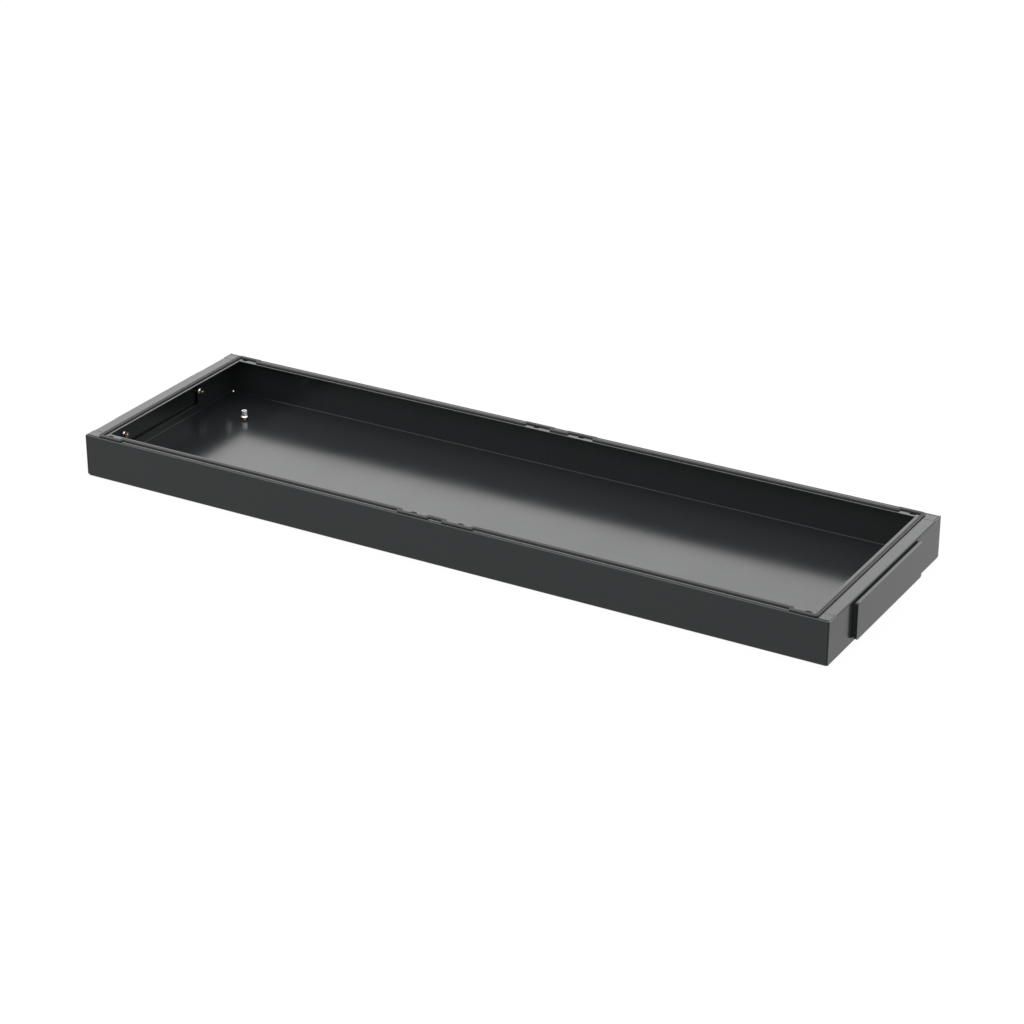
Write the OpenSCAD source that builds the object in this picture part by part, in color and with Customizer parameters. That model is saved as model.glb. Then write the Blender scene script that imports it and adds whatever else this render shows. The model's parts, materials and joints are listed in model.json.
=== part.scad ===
// Under desk drawer: a folded sheet-metal tray that slides between two rails.
// The rails screw to the underside of a desk through slots. Millimetres, +Z up,
// +X is the way the tray pulls out, origin at the middle of the underside.

/* [Tray] */
// Outer length of the tray, along the slide
tray_l = 1100; // [700:10:1300]
// Outer width of the tray
tray_w = 341; // [300:1:500]
// Height from the underside to the top of the flanges
tray_h = 60; // [56:1:100]
// Thickness of the tray and rail sheet
sheet = 1.5; // [1.2:0.1:1.6]
// Outer radius of the folds
fold_r = 2.6; // [2:0.1:3]
// Outer radius of the tighter fold on top of each end wall
top_fold_r = 1.8; // [1.7:0.1:2]
// Depth of the flange folded in from each end wall
end_flange = 27.5; // [25:0.5:40]

/* [Rails] */
// Inner edge of the rail flange, from the outer face of the tray
rail_edge = 18.7; // [18:0.1:24]
// Gap between running parts
run_gap = 0.3; // [0.3:0.05:0.4]
// How far the tray slides out
travel = 750; // [200:10:760]

/* [Screw slots] */
// Length of a slot, along the rail
slot_l = 9.2; // [8:0.1:12]
// Width of a slot
slot_w = 5; // [4:0.1:5.4]
// Slot centre line, from the outer face of the tray
slot_in = 12.5; // [12.4:0.1:13]
// Distance of the outer slots from the tray ends
slot_end = 33; // [33:1:45]
// Distance of the middle slots from the middle of the rail
slot_mid = 35; // [30:1:60]

/* [Seal] */
// Width of the foam strip
seal_w = 5; // [3:0.5:5]
// Height of the foam strip
seal_h = 2.1; // [1:0.1:4]
// Distance of the strip from the end faces
seal_end = 17.7; // [15:0.1:20]

/* [End plates] */
// Length of the plate over each end window
plate_l = 200; // [190:1:240]
// Height of the plate
plate_h = 50; // [48:1:50]
// Depth of the plate's folded rim
plate_d = 4.5; // [4:0.5:8]
// Height of the middle of the plate, the window and the studs
plate_z = 30.5; // [30:0.5:32]
// Thickness of the gasket between plate and wall
gasket_t = 1.5; // [1:0.1:2]
// Length of the window in each end wall
window_l = 167; // [120:1:167]
// Height of the window
window_h = 38; // [20:1:38]

/* [Fasteners] */
// Distance of the plate studs from the middle
plate_stud_y = 88.5; // [88.5:0.5:92]
// Distance of the floor studs from the rear face
floor_stud_x = 75; // [50:1:120]
// Distance of the floor studs from the middle
floor_stud_y = 92.5; // [60:0.5:120]
// Thread diameter of the weld studs
stud_d = 4; // [3:1:4]
// Width of the nuts across their flats
nut_af = 7; // [6:0.1:8]

/* [Hidden] */
$fn = 64;
eps = 0.01;
cut = 1;

// Hem and running lip on top of each side wall, measured in from the outer face
hem_r = sheet;
hem_in = 2 * sheet;
lip_in = 6.8;
lip_top = tray_h - 2.6;
lip_bottom = lip_top - sheet;

// Rail strip on top, and the angle runner welded under it: a web and a foot under the lip
side_gap = 0.8;
web_gap = 0.4;
foot_gap = 0.5;
foot_drop = 1.2;
end_gap = 0.7;
flange_out = hem_in + side_gap;
flange_bottom = tray_h - sheet;
web_out = lip_in + web_gap;
web_in = web_out + sheet;
foot_out = hem_in + foot_gap;
foot_top = lip_bottom - foot_drop;
foot_bottom = foot_top - sheet;
rail_front = tray_l - sheet - end_gap;
flange_end = rail_edge + 2 * run_gap;

// Glides and stops
glide_l = 30;
glide_back = 12;
glide_side = 0.2;
stop_l = 10;
tray_stop_x = 4;
rail_stop_x = tray_stop_x + stop_l + travel;
buffer_l = 12;
buffer_w = 5;
buffer_h = 2.5;

// Seal path: outer lane beside the slots, inner lane between them
lane_out_edge = 3.8;
lane_in_edge = 9;
lane_out = lane_out_edge + seal_w / 2;
lane_in = lane_in_edge + seal_w / 2;
jog_half = 20;
jog_run = 1.5;
jog_mid = tray_l / 2 - slot_mid + 2;
seal_corner_r = 4;

// Corner relief and the open seam where side walls meet end walls
relief_r = 0.8;
seam_w = 0.5;
seam_depth = 1;
notch_bottom = foot_bottom - 2 * run_gap;

// End plates
plate_r = 3;
window_r = 5;
gasket_w = 4;
gasket_inset = 2;
gasket_r = 1;
stud_clear = 0.5;
hole_d = stud_d + stud_clear;

// Nuts and studs
nut_flange_d = 10;
nut_flange_t = 0.7;
nut_skirt_t = 1.3;
nut_h = 4.65;
lock_nut_h = 5;
nut_top_d = 1.06 * nut_af;
weld_d = 5.5;
weld_t = 0.7;
stud_proud = 1.5;
stud_short = 0.6;
plate_stud_l = plate_d + gasket_t + nut_h + stud_proud;
floor_nut_lift = 3.8;
floor_stud_l = floor_nut_lift + nut_h + lock_nut_h - stud_short;

steel_grey = "DimGray";
foam_grey = "SlateGray";

// Centre line of the rail seal at distance x from the tray's rear face
seal_half = [
    [seal_end, lane_out],
    [slot_end + jog_half, lane_out],
    [slot_end + jog_half + jog_run, lane_in],
    [jog_mid - jog_half - jog_run, lane_in],
    [jog_mid - jog_half, lane_out],
    [jog_mid + jog_half, lane_out],
    [jog_mid + jog_half + jog_run, lane_in]
];
seal_line = concat(
    seal_half,
    [for (i = [len(seal_half) - 1:-1:0]) [tray_l - seal_half[i][0], seal_half[i][1]]]
);

// Places a near-side piece drawn with x from the rear face and y in from the outer face
module near_side() {
    translate([-tray_l / 2, -tray_w / 2, 0]) children();
}

module far_side() {
    mirror([0, 1, 0]) near_side() children();
}

module both_sides() {
    near_side() children();
    far_side() children();
}

// Turns an outline drawn as (inwards, up) into a bar along x from x0 to x1
module bar_x(x0, x1) {
    translate([x0, 0, 0]) rotate([90, 0, 90]) linear_extrude(x1 - x0) children();
}

// Turns an outline drawn as (inwards, up) into a bar along y on the rear wall
module bar_y(y0, y1) {
    translate([0, y1, 0]) rotate([90, 0, 0]) linear_extrude(y1 - y0) children();
}

module rear_end() {
    translate([-tray_l / 2, 0, 0]) children();
}

module front_end() {
    mirror([1, 0, 0]) rear_end() children();
}

// Quarter ring of sheet around a fold, centred at the origin, in the given quadrant
module fold(sx, sy, r = fold_r) {
    intersection() {
        difference() {
            circle(r);
            circle(r - sheet);
        }
        translate([sx < 0 ? -r : 0, sy < 0 ? -r : 0]) square(r);
    }
}

module rounded_plate(l, h, r) {
    translate([-l / 2 + r, -h / 2]) square([l - 2 * r, h]);
    translate([-l / 2, -h / 2 + r]) square([l, h - 2 * r]);
    for (sx = [-1, 1], sy = [-1, 1]) translate([sx * (l / 2 - r), sy * (h / 2 - r)]) circle(r);
}

module slot_outline() {
    translate([-(slot_l - slot_w) / 2, -slot_w / 2]) square([slot_l - slot_w, slot_w]);
    for (s = [-1, 1]) translate([s * (slot_l - slot_w) / 2, 0]) circle(slot_w / 2);
}

// ---- rails ----

module rail() {
    difference() {
        translate([0, flange_out, flange_bottom]) cube([rail_front, rail_edge - flange_out, sheet]);
        for (x = [slot_end, tray_l / 2 - slot_mid, tray_l / 2 + slot_mid, tray_l - slot_end])
            translate([x, slot_in, flange_bottom - cut])
                linear_extrude(sheet + 2 * cut) slot_outline();
    }
}

module rail_near() {
    color(steel_grey) near_side() rail();
}

module rail_far() {
    color(steel_grey) far_side() rail();
}

// Angle with a bent corner, open towards the side wall
module runner_outline() {
    translate([web_in - fold_r, foot_bottom + fold_r]) fold(1, -1);
    translate([web_out, foot_bottom + fold_r]) square([sheet, flange_bottom - foot_bottom - fold_r]);
    translate([foot_out, foot_bottom]) square([web_in - fold_r - foot_out, sheet]);
}

module runner_near() {
    color(steel_grey) near_side() bar_x(0, rail_front) runner_outline();
}

module runner_far() {
    color(steel_grey) far_side() bar_x(0, rail_front) runner_outline();
}

module seal_strip() {
    polygon(concat(
        [for (p = seal_line) [p[0], p[1] - seal_w / 2]],
        [for (i = [len(seal_line) - 1:-1:0]) [seal_line[i][0], seal_line[i][1] + seal_w / 2]]
    ));
}

// Leg of the seal across a rail corner, at distance x from the rear face
module seal_leg(x) {
    translate([x, lane_out - seal_w / 2]) square([seal_w, rail_edge - lane_out + seal_w / 2]);
}

module seal_corner_cut(x, s) {
    translate([x, lane_out - seal_w / 2]) difference() {
        translate([s < 0 ? -seal_corner_r : -cut, -cut]) square(seal_corner_r + cut);
        translate([-s * seal_corner_r, seal_corner_r]) circle(seal_corner_r);
    }
}

module rail_seal() {
    translate([0, 0, tray_h]) linear_extrude(seal_h) difference() {
        union() {
            seal_strip();
            seal_leg(seal_end);
            seal_leg(tray_l - seal_end - seal_w);
        }
        seal_corner_cut(seal_end, -1);
        seal_corner_cut(tray_l - seal_end, 1);
    }
}

module rail_seal_near() {
    color(foam_grey) near_side() rail_seal();
}

module rail_seal_far() {
    color(foam_grey) far_side() rail_seal();
}

// Block on the runner's foot, clear of the bend
module foot_block(x, l) {
    translate([x, foot_out, foot_top])
        cube([l, web_in - fold_r - foot_out, lip_bottom - foot_top - run_gap]);
}

module rail_glides() {
    color("WhiteSmoke") both_sides() foot_block(rail_front - glide_back - glide_l, glide_l);
}

module rail_stops() {
    color("Silver") both_sides() foot_block(rail_stop_x, stop_l);
}

module rail_buffers() {
    color("Black") both_sides()
        translate([tray_l - sheet - run_gap - buffer_l, web_in, flange_bottom - buffer_h])
            cube([buffer_l, buffer_w, buffer_h]);
}

// ---- tray ----

module side_outline() {
    translate([fold_r, fold_r]) fold(-1, -1);
    translate([0, fold_r]) square([sheet, tray_h - hem_r - fold_r]);
    translate([hem_r, tray_h - hem_r]) circle(hem_r);
    translate([sheet - eps, lip_bottom]) square([sheet + eps, tray_h - hem_r - lip_bottom]);
    translate([sheet - eps, lip_bottom]) square([lip_in - sheet + eps, sheet]);
}

module end_outline() {
    translate([fold_r, fold_r]) fold(-1, -1);
    translate([0, fold_r]) square([sheet, tray_h - fold_r - top_fold_r]);
    translate([top_fold_r, tray_h - top_fold_r]) fold(-1, 1, top_fold_r);
    translate([top_fold_r, tray_h - sheet]) square([end_flange - top_fold_r, sheet]);
}

module side_wall() {
    difference() {
        bar_x(sheet - eps, tray_l - sheet + eps) side_outline();
        for (x = [0, tray_l - fold_r])
            translate([x, -cut, -cut]) cube([fold_r, fold_r + cut, fold_r + cut]);
        for (x = [sheet, tray_l - sheet - seam_w])
            translate([x, -cut, -cut]) cube([seam_w, seam_depth + cut, tray_h + 2 * cut]);
    }
}

module end_wall() {
    bar_y(-tray_w / 2 + flange_end, tray_w / 2 - flange_end) end_outline();
    difference() {
        bar_y(-tray_w / 2 + fold_r, tray_w / 2 - fold_r) end_outline();
        translate([sheet, -tray_w / 2, tray_h / 2]) cube([end_flange, tray_w, tray_h]);
        translate([-cut, -tray_w / 2, tray_h - fold_r]) cube([end_flange, tray_w, fold_r + cut]);
    }
    translate([0, -tray_w / 2, fold_r]) cube([sheet, tray_w, tray_h - 2 * fold_r]);
}

// Plain upstand that carries the end wall's corners to full height
module wall_corners() {
    for (s = [0, 1]) mirror([0, s, 0])
        translate([0, -tray_w / 2, tray_h - 2 * fold_r]) cube([sheet, flange_end, 2 * fold_r]);
}

// Openings of one end wall: the window and the two stud holes
module end_openings() {
    translate([-cut, 0, plate_z]) rotate([90, 0, 90]) linear_extrude(sheet + 2 * cut) {
        rounded_plate(window_l, window_h, window_r);
        for (s = [-1, 1]) translate([s * plate_stud_y, 0]) circle(d = hole_d);
    }
}

// Notch that lets a rail pass the rear wall
module rail_notch() {
    translate([-cut, hem_in, notch_bottom]) cube([sheet + 2 * cut, flange_end - hem_in, tray_h]);
}

module tray_pan() {
    color(steel_grey) difference() {
        union() {
            translate([-tray_l / 2 + fold_r, -tray_w / 2 + fold_r, 0])
                cube([tray_l - 2 * fold_r, tray_w - 2 * fold_r, sheet]);
            both_sides() side_wall();
            rear_end() end_wall();
            front_end() end_wall();
            rear_end() wall_corners();
            front_end() wall_corners();
        }
        rear_end() end_openings();
        front_end() end_openings();
        both_sides() rail_notch();
        for (sx = [-1, 1], sy = [-1, 1])
            translate([sx * (tray_l / 2 - fold_r), sy * (tray_w / 2 - fold_r), -cut])
                cylinder(r = relief_r, h = fold_r + 2 * cut);
    }
}

module tray_glides() {
    color("WhiteSmoke") both_sides()
        translate([tray_stop_x, hem_in + glide_side, lip_top])
            cube([glide_l, lip_in - hem_in - 2 * glide_side, flange_bottom - lip_top - run_gap]);
}

module tray_stops() {
    color("Silver") both_sides()
        translate([tray_stop_x, foot_out, foot_top + run_gap])
            cube([stop_l, lip_in - foot_out, lip_bottom - foot_top - run_gap]);
}

module end_seal() {
    translate([seal_end, -tray_w / 2 + flange_end, tray_h]) cube([seal_w, tray_w - 2 * flange_end, seal_h]);
}

module end_seal_front() {
    color(foam_grey) front_end() end_seal();
}

module end_seal_rear() {
    color(foam_grey) rear_end() end_seal();
}

// ---- end plates, drawn at the rear wall, outwards along -x ----

// Shallow pan; its open side faces the wall
module pan() {
    rotate([90, 0, -90]) difference() {
        linear_extrude(plate_d) rounded_plate(plate_l, plate_h, plate_r);
        translate([0, 0, -cut]) linear_extrude(plate_d - sheet + cut)
            rounded_plate(plate_l - 2 * sheet, plate_h - 2 * sheet, plate_r - sheet);
    }
}

module plate_place() {
    translate([-gasket_t, 0, plate_z]) children();
}

// Ring set back from the plate's edges
module gasket() {
    translate([0, 0, plate_z]) rotate([90, 0, -90]) linear_extrude(gasket_t) difference() {
        gasket_outline(gasket_inset);
        gasket_outline(gasket_inset + gasket_w);
    }
}

module gasket_outline(inset) {
    rounded_plate(plate_l - 2 * inset, plate_h - 2 * inset, gasket_r);
}

// Weld stud standing on the xy plane
module stud(l) {
    cylinder(d = weld_d, h = weld_t);
    cylinder(d = stud_d, h = l);
}

module nut_body(h) {
    difference() {
        children();
        translate([0, 0, -cut]) cylinder(d = stud_d, h = h + 2 * cut);
    }
}

// Hexagon whose top corners are turned down to a cone
module hex(h) {
    intersection() {
        cylinder(d = nut_af / cos(30), h = h, $fn = 6);
        cylinder(d1 = nut_top_d + 2 * h, d2 = nut_top_d, h = h);
    }
}

// Nut with a washer flange that rises in a cone to the flats
module flange_nut() {
    nut_body(nut_h) {
        cylinder(d = nut_flange_d, h = nut_flange_t);
        translate([0, 0, nut_flange_t]) cylinder(d1 = nut_flange_d, d2 = nut_af, h = nut_skirt_t);
        hex(nut_h);
    }
}

module lock_nut() {
    nut_body(lock_nut_h) hex(lock_nut_h);
}

module plate_studs() {
    for (s = [-1, 1])
        translate([-gasket_t - plate_d + sheet, s * plate_stud_y, plate_z])
            rotate([0, 90, 0]) stud(plate_stud_l);
}

module plate_nuts() {
    for (s = [-1, 1]) translate([sheet, s * plate_stud_y, plate_z]) rotate([0, 90, 0]) flange_nut();
}

module front_plate() {
    color("Gray") front_end() plate_place() pan();
}

module front_plate_gasket() {
    color("Black") front_end() gasket();
}

module front_plate_studs() {
    color("Peru") front_end() plate_studs();
}

module front_plate_nuts() {
    color("Silver") front_end() plate_nuts();
}

module rear_plate() {
    color("Gray") rear_end() plate_place() pan();
}

module rear_plate_gasket() {
    color("Black") rear_end() gasket();
}

module rear_plate_studs() {
    color("Peru") rear_end() plate_studs();
}

module rear_plate_nuts() {
    color("Silver") rear_end() plate_nuts();
}

// ---- floor studs ----

module floor_places(z) {
    for (s = [-1, 1]) rear_end() translate([floor_stud_x, s * floor_stud_y, z]) children();
}

module floor_studs() {
    color("Peru") floor_places(sheet) stud(floor_stud_l);
}

module floor_flange_nuts() {
    color("Silver") floor_places(sheet + floor_nut_lift) flange_nut();
}

module floor_lock_nuts() {
    color("Silver") floor_places(sheet + floor_nut_lift + nut_h) lock_nut();
}

rail_near();
rail_far();
runner_near();
runner_far();
rail_seal_near();
rail_seal_far();
rail_glides();
rail_stops();
rail_buffers();
tray_pan();
tray_glides();
tray_stops();
end_seal_front();
end_seal_rear();
front_plate();
front_plate_gasket();
front_plate_studs();
front_plate_nuts();
rear_plate();
rear_plate_gasket();
rear_plate_studs();
rear_plate_nuts();
floor_studs();
floor_flange_nuts();
floor_lock_nuts();
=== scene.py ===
"""Looks of the under desk drawer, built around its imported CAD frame. Everything is in metres."""
import json
import math

import bmesh
import bpy
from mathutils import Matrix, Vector


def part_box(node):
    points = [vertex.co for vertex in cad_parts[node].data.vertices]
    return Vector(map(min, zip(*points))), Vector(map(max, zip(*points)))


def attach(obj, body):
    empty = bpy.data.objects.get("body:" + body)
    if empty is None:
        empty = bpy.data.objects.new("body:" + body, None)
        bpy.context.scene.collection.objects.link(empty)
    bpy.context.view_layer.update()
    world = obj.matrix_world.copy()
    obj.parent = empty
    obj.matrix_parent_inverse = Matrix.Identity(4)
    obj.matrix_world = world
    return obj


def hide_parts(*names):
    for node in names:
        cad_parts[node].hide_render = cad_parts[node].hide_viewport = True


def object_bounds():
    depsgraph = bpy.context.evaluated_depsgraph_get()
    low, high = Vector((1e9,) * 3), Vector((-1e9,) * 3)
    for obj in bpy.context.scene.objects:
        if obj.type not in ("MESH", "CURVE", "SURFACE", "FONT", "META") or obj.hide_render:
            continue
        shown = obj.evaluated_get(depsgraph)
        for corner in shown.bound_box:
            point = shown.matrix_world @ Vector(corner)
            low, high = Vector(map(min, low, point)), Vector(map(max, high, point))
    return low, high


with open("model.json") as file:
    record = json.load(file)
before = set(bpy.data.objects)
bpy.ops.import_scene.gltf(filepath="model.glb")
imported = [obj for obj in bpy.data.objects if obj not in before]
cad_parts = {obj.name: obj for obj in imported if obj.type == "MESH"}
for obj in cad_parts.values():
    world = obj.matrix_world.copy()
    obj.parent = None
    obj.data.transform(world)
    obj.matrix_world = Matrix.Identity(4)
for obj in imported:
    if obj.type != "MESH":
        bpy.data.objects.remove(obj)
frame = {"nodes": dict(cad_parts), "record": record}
cad_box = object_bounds()

MM = 0.001
NODES = frame["nodes"]
SCENE = bpy.context.scene


# ---- camera ----

VIEW_AZIMUTH = 30.116
VIEW_ELEVATION = 25.148
VIEW_DISTANCE = 3.6987
VIEW_TARGET = Vector((0.0398, -0.0370, 0.02945))
LENS_MM = 100


def add_camera():
    azimuth = math.radians(VIEW_AZIMUTH)
    elevation = math.radians(VIEW_ELEVATION)
    back = Vector((
        math.sin(azimuth) * math.cos(elevation),
        -math.cos(azimuth) * math.cos(elevation),
        math.sin(elevation),
    ))
    camera = bpy.data.objects.new("camera", bpy.data.cameras.new("camera"))
    SCENE.collection.objects.link(camera)
    camera.data.lens = LENS_MM
    camera.data.clip_start = 0.05
    camera.data.clip_end = 200
    camera.location = VIEW_TARGET + back * VIEW_DISTANCE
    camera.rotation_euler = back.to_track_quat("Z", "Y").to_euler()
    SCENE.camera = camera


# ---- materials ----

class Shader:
    """A material whose nodes are added by short calls."""

    def __init__(self, name, **sockets):
        self.material = bpy.data.materials.new(name)
        self.material.use_nodes = True
        self.tree = self.material.node_tree
        self.bsdf = self.tree.nodes["Principled BSDF"]
        self.set(self.bsdf, **sockets)
        self.coordinates = self.add("ShaderNodeTexCoord").outputs["Object"]

    def add(self, kind, **sockets):
        node = self.tree.nodes.new(kind)
        self.set(node, **sockets)
        return node

    def set(self, node, **sockets):
        for name, value in sockets.items():
            node.inputs[name.replace("_", " ")].default_value = value

    def link(self, output, node, socket):
        self.tree.links.new(output, node.inputs[socket])

    def noise(self, scale, detail=2.0, roughness=0.5, stretch=None):
        node = self.add("ShaderNodeTexNoise", Scale=scale, Detail=detail, Roughness=roughness)
        self.link(self.stretched(stretch), node, "Vector")
        return node.outputs["Fac"]

    def cells(self, scale):
        node = self.add("ShaderNodeTexVoronoi", Scale=scale)
        self.link(self.coordinates, node, "Vector")
        return node.outputs["Distance"]

    def stretched(self, stretch):
        if stretch is None:
            return self.coordinates
        node = self.add("ShaderNodeMapping", Scale=stretch)
        self.link(self.coordinates, node, "Vector")
        return node.outputs["Vector"]

    def colour(self, fac, low, high, start=0.35, end=0.65):
        ramp = self.add("ShaderNodeValToRGB")
        for element, position, value in zip(ramp.color_ramp.elements, (start, end), (low, high)):
            element.position = position
            element.color = (*value, 1)
        self.link(fac, ramp, "Fac")
        self.link(ramp.outputs["Color"], self.bsdf, "Base Color")

    def roughness(self, fac, low, high):
        spread = self.add("ShaderNodeMapRange", From_Min=0.3, From_Max=0.7, To_Min=low, To_Max=high)
        self.link(fac, spread, "Value")
        self.link(spread.outputs["Result"], self.bsdf, "Roughness")

    def bump(self, fac, height, strength=1.0):
        """Adds a layer of relief, height metres deep, over the layers added before."""
        node = self.add("ShaderNodeBump", Strength=strength, Distance=height)
        below = self.bsdf.inputs["Normal"].links
        if below:
            self.link(below[0].from_socket, node, "Normal")
        self.link(fac, node, "Height")
        self.link(node.outputs["Normal"], self.bsdf, "Normal")


def powder_coat():
    """Dark grey satin coat: orange peel about 1 mm across and a fine grain in the colour."""
    shader = Shader("powder_coat", IOR=1.36)
    shader.colour(shader.noise(2600, detail=3), (0.0058, 0.0064, 0.0068), (0.0112, 0.0121, 0.0127))
    shader.roughness(shader.noise(9, detail=4), 0.17, 0.21)
    shader.bump(shader.noise(700, detail=2), 0.002 * MM)
    return shader.material


def seal_foam():
    """Dark foam rubber strip: a smooth skin with fine pores and a slight waviness."""
    shader = Shader("seal_foam", IOR=1.27)
    pores = shader.noise(1500, detail=5, roughness=0.7)
    shader.colour(pores, (0.015, 0.015, 0.015), (0.033, 0.0325, 0.032))
    shader.roughness(shader.noise(300, detail=3), 0.42, 0.56)
    shader.bump(shader.cells(1400), 0.02 * MM)
    shader.bump(shader.noise(120, detail=3), 0.02 * MM)
    return shader.material


def nylon():
    """Natural nylon block: slightly cloudy, with faint moulding texture."""
    shader = Shader("nylon", IOR=1.53, Subsurface_Weight=0.1, Subsurface_Scale=0.002)
    shader.colour(shader.noise(250, detail=4), (0.70, 0.69, 0.65), (0.80, 0.79, 0.75))
    shader.roughness(shader.noise(90, detail=3), 0.38, 0.5)
    shader.bump(shader.noise(1800, detail=2), 0.01 * MM)
    return shader.material


def zinc(name, dull, bright, roughness):
    """Zinc plate between a dull and a bright tone, with fine drawn lines and patches of crystal."""
    shader = Shader(name, Metallic=1.0)
    shader.colour(shader.noise(700, detail=4), dull, bright)
    shader.roughness(shader.noise(500, detail=3), roughness, roughness + 0.1)
    shader.bump(shader.noise(2500, detail=2, stretch=(1, 1, 0.1)), 0.006 * MM)
    return shader.material


def copper():
    """Thin copper plate over steel, a little uneven and tarnished."""
    shader = Shader("copper", Metallic=1.0)
    shader.colour(shader.noise(900, detail=4), (0.34, 0.155, 0.085), (0.58, 0.32, 0.19))
    shader.roughness(shader.noise(600, detail=3), 0.25, 0.42)
    shader.bump(shader.noise(3000, detail=2), 0.005 * MM)
    return shader.material


def black_rubber():
    """Matt black rubber with a fine grain."""
    shader = Shader("black_rubber", IOR=1.45)
    shader.colour(shader.noise(1200, detail=4), (0.020, 0.020, 0.021), (0.034, 0.034, 0.035))
    shader.roughness(shader.noise(200, detail=3), 0.65, 0.85)
    shader.bump(shader.noise(2200, detail=3), 0.02 * MM)
    return shader.material


def paint_nodes(materials):
    for row in frame["record"]["subparts"]:
        piece = NODES[row["node"]]
        piece.data.materials.clear()
        piece.data.materials.append(materials[row["material_slot"]])


# ---- shapes ----

CREASE_ANGLE = math.radians(50)

# Seal: width, step between its lanes, and its jogs beside the slots
SEAL_WIDTH = 5 * MM
LANE_STEP = 5.2 * MM
JOG_HALF = 20 * MM
JOG_RUN = 1.5 * MM
JOG_SHIFT = 2 * MM
SEAL_CORNER = 3 * MM

# Section of the seal: two ridges beside a groove
SEAL_SHOULDER = 0.7 * MM
SEAL_GROOVE = 0.6 * MM
SEAL_GROOVE_FLOOR = 1.2 * MM

# Rounding of the CAD nodes' sharp edges: nodes, width and segments
PLATE_NUTS = ["front_plate_nuts", "rear_plate_nuts"]
EDGE_ANGLE = math.radians(40)
EDGES = [
    (["tray_pan", "rail_near", "rail_far", "runner_near", "runner_far"], 0.4 * MM, 3),
    (["front_plate", "rear_plate"], 1.0 * MM, 4),
    ([*PLATE_NUTS, "floor_flange_nuts", "floor_lock_nuts"], 0.12 * MM, 2),
    (["front_plate_gasket", "rear_plate_gasket"], 0.3 * MM, 3),
    (["rail_glides", "rail_stops", "rail_buffers", "tray_glides", "tray_stops"], 0.2 * MM, 3),
]

# M4 weld studs
THREAD_RADIUS = 2 * MM
THREAD_PITCH = 0.7 * MM
THREAD_DEPTH = 0.38 * MM
COLLAR_RADIUS = 2.75 * MM
COLLAR_LENGTH = 0.7 * MM


def bevel(names, width, segments):
    """Rounds the sharp edges of CAD nodes, which keep their own mesh."""
    for name in names:
        modifier = NODES[name].modifiers.new("edge_round", "BEVEL")
        modifier.width = width
        modifier.segments = segments
        modifier.limit_method = "ANGLE"
        modifier.angle_limit = EDGE_ANGLE
        modifier.harden_normals = True


def finish_piece(name, verts, faces, body, node, material):
    """Makes a smooth-shaded piece with crisp creases that stands for a CAD node."""
    mesh = bpy.data.meshes.new(name)
    mesh.from_pydata(verts, [], faces)
    work = bmesh.new()
    work.from_mesh(mesh)
    bmesh.ops.recalc_face_normals(work, faces=work.faces)
    work.to_mesh(mesh)
    work.free()
    mesh.polygons.foreach_set("use_smooth", [True] * len(mesh.polygons))
    mesh.set_sharp_from_angle(angle=CREASE_ANGLE)
    mesh.materials.append(material)
    piece = bpy.data.objects.new(name, mesh)
    SCENE.collection.objects.link(piece)
    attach(piece, body)
    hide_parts(node)
    return piece


def shoulder(across, up, start, steps=4):
    """Quarter circle of a seal ridge, centred at (across, up), from the angle start."""
    turns = [start + math.pi / 2 * i / steps for i in range(steps + 1)]
    arc = [(SEAL_SHOULDER * math.cos(turn), SEAL_SHOULDER * math.sin(turn)) for turn in turns]
    return [(across + x, up + y) for x, y in arc]


def ribbed(width, height):
    """Outline of a foam strip, as (across, up): two ridges with round shoulders and a groove between."""
    outer, inner = width / 2 - SEAL_SHOULDER, SEAL_GROOVE / 2 + SEAL_SHOULDER
    top = height - SEAL_SHOULDER
    right = [
        (width / 2, 0), *shoulder(outer, top, 0), *shoulder(inner, top, math.pi / 2),
        (SEAL_GROOVE / 2, SEAL_GROOVE_FLOOR),
    ]
    return right + [(-across, up) for across, up in reversed(right)]


def corner_arc(corner, before, after, radius, steps=6):
    """Points of a round corner between the directions before and after."""
    start = corner - before * radius
    centre = start + after * radius
    turns = [math.pi / 2 * i / steps for i in range(steps + 1)]
    return [centre - after * radius * math.cos(turn) + before * radius * math.sin(turn) for turn in turns]


def sweep(path, outline, base):
    """Vertices and faces of an outline swept along a flat path, with mitred bends and closed ends."""
    count = len(outline)
    verts = []
    for i, point in enumerate(path):
        before = (point - path[i - 1]).normalized() if i else (path[1] - point).normalized()
        after = (path[i + 1] - point).normalized() if i + 1 < len(path) else before
        mid = (before + after).normalized()
        across = Vector((-mid.y, mid.x)) / mid.dot(after)
        verts += [(*(point + across * side), base + up) for side, up in outline]
    faces = [tuple(range(count)), tuple(range(len(verts) - count, len(verts)))]
    for ring in range(len(path) - 1):
        a, b = ring * count, (ring + 1) * count
        faces += [(a + i, a + (i + 1) % count, b + (i + 1) % count, b + i) for i in range(count)]
    return verts, faces


def rail_seal_path(node):
    """Centre line of the near rail's seal, from leg to leg; it steps inwards between the slots."""
    low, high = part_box(node)
    leg = high[0] - SEAL_WIDTH / 2
    outer = low[1] + SEAL_WIDTH / 2
    inner = outer + LANE_STEP
    corner, middle = (slot_x(name) for name in ("corner_slots", "middle_slots"))
    half = [
        (corner - JOG_HALF, outer), (corner - JOG_HALF - JOG_RUN, inner),
        (middle - JOG_SHIFT + JOG_HALF + JOG_RUN, inner), (middle - JOG_SHIFT + JOG_HALF, outer),
        (middle - JOG_SHIFT - JOG_HALF, outer), (middle - JOG_SHIFT - JOG_HALF - JOG_RUN, inner),
    ]
    turn = corner_arc(Vector((leg, outer)), Vector((0, -1)), Vector((-1, 0)), SEAL_CORNER)
    right = [Vector((leg, high[1])), *turn, *(Vector(point) for point in half)]
    return right + [Vector((-point.x, point.y)) for point in reversed(right)]


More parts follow.
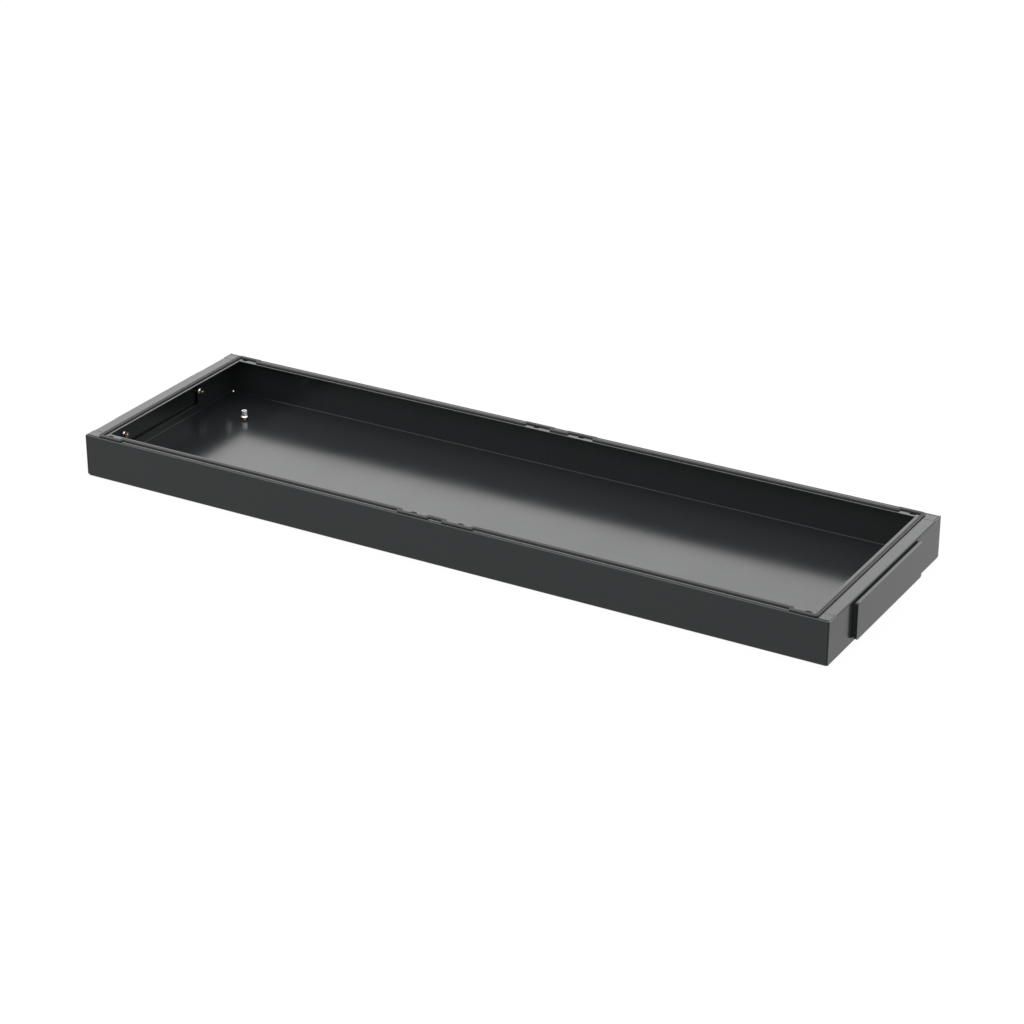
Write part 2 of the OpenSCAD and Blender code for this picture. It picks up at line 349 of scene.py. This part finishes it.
def slot_x(mount_name):
    """Distance of a mount's slots from the middle of the rail."""
    mount = next(m for m in frame["record"]["mounts"] if m["name"] == mount_name)
    return mount["dims"]["spacing_x_mm"] / 2 * MM


def add_seals(material):
    low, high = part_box("rail_seal_near")
    outline = ribbed(SEAL_WIDTH, high[2] - low[2])
    near = rail_seal_path("rail_seal_near")
    far = [Vector((point.x, -point.y)) for point in near]
    for name, path in (("near", near), ("far", far)):
        verts, faces = sweep(path, outline, low[2])
        node = "rail_seal_" + name
        finish_piece("seal_bead_" + name, verts, faces, "desk_rails", node, material)
    for name in ("front", "rear"):
        low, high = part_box("end_seal_" + name)
        middle = (low[0] + high[0]) / 2
        path = [Vector((middle, y)) for y in (low[1], high[1])]
        verts, faces = sweep(path, outline, low[2])
        node = "end_seal_" + name
        finish_piece("seal_bead_" + name, verts, faces, "tray", node, material)


def stud_radius(along, turn, length):
    """Radius of a weld stud: welded collar, plain neck, helical thread and a chamfered tip."""
    if along <= COLLAR_LENGTH:
        return COLLAR_RADIUS
    if along <= COLLAR_LENGTH + THREAD_PITCH:
        return THREAD_RADIUS - THREAD_DEPTH / 2
    wave = abs(2 * ((along / THREAD_PITCH - turn) % 1) - 1)
    tip = THREAD_RADIUS - max(0, along - length + THREAD_DEPTH)
    return min(THREAD_RADIUS - THREAD_DEPTH * wave, tip)


def stud_mesh(place, length, around=32, per_pitch=8):
    """Vertices and faces of one stud; place turns (across, along, up) into a point."""
    step = THREAD_PITCH / per_pitch
    stations = [0, COLLAR_LENGTH, COLLAR_LENGTH + step / 4]
    while stations[-1] + step < length:
        stations.append(stations[-1] + step)
    stations.append(length)
    verts = []
    for along in stations:
        for i in range(around):
            radius = stud_radius(along, i / around, length)
            turn = 2 * math.pi * i / around
            verts.append(place(radius * math.cos(turn), radius * math.sin(turn), along))
    faces = [tuple(range(around)), tuple(range(len(verts) - around, len(verts)))]
    for ring in range(len(stations) - 1):
        a, b = ring * around, (ring + 1) * around
        faces += [(a + i, a + (i + 1) % around, b + (i + 1) % around, b + i) for i in range(around)]
    return verts, faces


def add_studs(material):
    """Threaded studs where the CAD has plain ones: two on the floor and two behind each plate."""
    for piece in ("floor", "front", "rear"):
        node = "floor_studs" if piece == "floor" else piece + "_plate_studs"
        low, high = (Vector(corner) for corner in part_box(node))
        centre = (low + high) / 2
        verts, faces = [], []
        for side in (-1, 1):
            y = side * (high.y - COLLAR_RADIUS)
            if piece == "floor":
                place = lambda u, v, w: (centre.x + u, y + v, low.z + w)
            else:
                start, way = (high.x, -1) if piece == "front" else (low.x, 1)
                place = lambda u, v, w: (start + way * w, y + u, centre.z + v)
            length = high.z - low.z if piece == "floor" else high.x - low.x
            more_verts, more_faces = stud_mesh(place, length)
            faces += [tuple(i + len(verts) for i in face) for face in more_faces]
            verts += more_verts
        finish_piece("threaded_studs_" + piece, verts, faces, "tray", node, material)


# ---- light and floor ----

SKY_RADIANCE = 3.0
HORIZON_RADIANCE = 0.3
SKY_FULL_HEIGHT = 0.42
FLOOR_GLOW = 0.96
FLOOR_ALBEDO = 0.02
FLOOR_HALF = 40.0
FLOOR_DROP = 0.2 * MM


def add_floor():
    shader = Shader("floor_white", Roughness=1.0)
    shader.set(
        shader.bsdf,
        Base_Color=(FLOOR_ALBEDO, FLOOR_ALBEDO, FLOOR_ALBEDO, 1),
        Emission_Color=(1, 1, 1, 1),
        Emission_Strength=FLOOR_GLOW,
        Specular_IOR_Level=0.0,
    )
    mesh = bpy.data.meshes.new("floor")
    corners = [(x * FLOOR_HALF, y * FLOOR_HALF, 0) for x, y in ((-1, -1), (1, -1), (1, 1), (-1, 1))]
    mesh.from_pydata(corners, [], [(0, 1, 2, 3)])
    mesh.materials.append(shader.material)
    floor = bpy.data.objects.new("floor", mesh)
    SCENE.collection.objects.link(floor)
    floor.location.z = cad_box[0][2] - FLOOR_DROP


def add_light():
    world = bpy.data.worlds.new("studio")
    SCENE.world = world
    world.use_nodes = True
    tree = world.node_tree
    sky = tree.nodes["Background"]
    sky.inputs["Color"].default_value = (1, 1, 1, 1)
    direction = tree.nodes.new("ShaderNodeTexCoord")
    split = tree.nodes.new("ShaderNodeSeparateXYZ")
    rise = tree.nodes.new("ShaderNodeMapRange")
    rise.inputs["From Min"].default_value = 0
    rise.inputs["From Max"].default_value = SKY_FULL_HEIGHT
    rise.inputs["To Min"].default_value = HORIZON_RADIANCE
    rise.inputs["To Max"].default_value = SKY_RADIANCE
    tree.links.new(direction.outputs["Generated"], split.inputs["Vector"])
    tree.links.new(split.outputs["Z"], rise.inputs["Value"])
    tree.links.new(rise.outputs["Result"], sky.inputs["Strength"])
    SCENE.view_settings.view_transform = "Standard"
    SCENE.view_settings.look = "None"


add_camera()
add_light()
add_floor()

MATERIALS = {
    "powder_coat": powder_coat(),
    "seal_foam": seal_foam(),
    "nylon": nylon(),
    "zinc": zinc("zinc", (0.62, 0.63, 0.65), (0.82, 0.83, 0.85), 0.38),
    "copper": copper(),
    "black_rubber": black_rubber(),
}
paint_nodes(MATERIALS)
# The nuts on the end walls get a darker copy of the zinc, painted shade for the dark inside of the tray
# that they reflect; they are also smoother than the ones on the floor
SHADED_WALL_ZINC = zinc("zinc_painted_shade", (0.30, 0.305, 0.315), (0.42, 0.43, 0.44), 0.16)
for name in PLATE_NUTS:
    NODES[name].data.materials[0] = SHADED_WALL_ZINC
for names, width, segments in EDGES:
    bevel(names, width, segments)
add_seals(MATERIALS["seal_foam"])
add_studs(MATERIALS["copper"])
